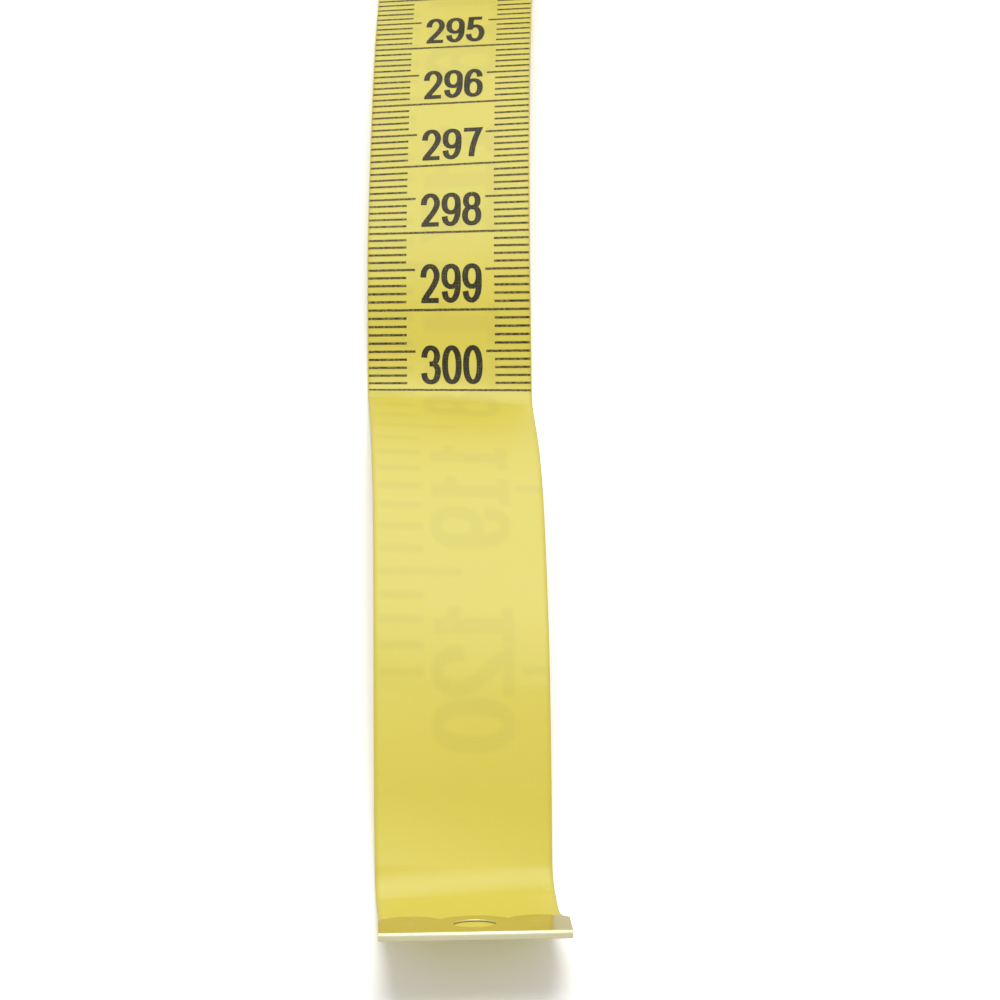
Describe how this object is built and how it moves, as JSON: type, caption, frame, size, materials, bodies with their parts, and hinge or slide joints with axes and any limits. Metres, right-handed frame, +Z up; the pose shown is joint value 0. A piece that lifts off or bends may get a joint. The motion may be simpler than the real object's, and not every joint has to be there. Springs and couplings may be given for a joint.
{
  "type": "cloth tape measure",
  "caption": "Coated cloth measuring tape wound into a standing roll, with a flat lead, a wavy free end and a folded metal tip crimped over each end.",
  "frame": {"origin": "on the table under the middle of the whole object", "axes": "+Y from the free end towards the roll, +X across the tape to its right edge, +Z up"},
  "size_m": [0.0284, 0.2482, 0.061],
  "materials": {
    "coated_cloth": "satin coated weave, yellow",
    "tip_metal": "bright nickel plating"
  },
  "bodies": {
    "roll": {"tape_roll": "coated_cloth", "tape_lead": "coated_cloth", "start_tip": "tip_metal"},
    "run": {"tape_run": "coated_cloth", "end_tip": "tip_metal"}
  },
  "joints": [
    {"name": "run_lift", "type": "hinge", "parent": "roll", "child": "run", "pos_m": [-0.00396, 0.04933, 0.0004], "axis": [-1, 0, 0], "range_deg": [0, 70]}
  ]
}
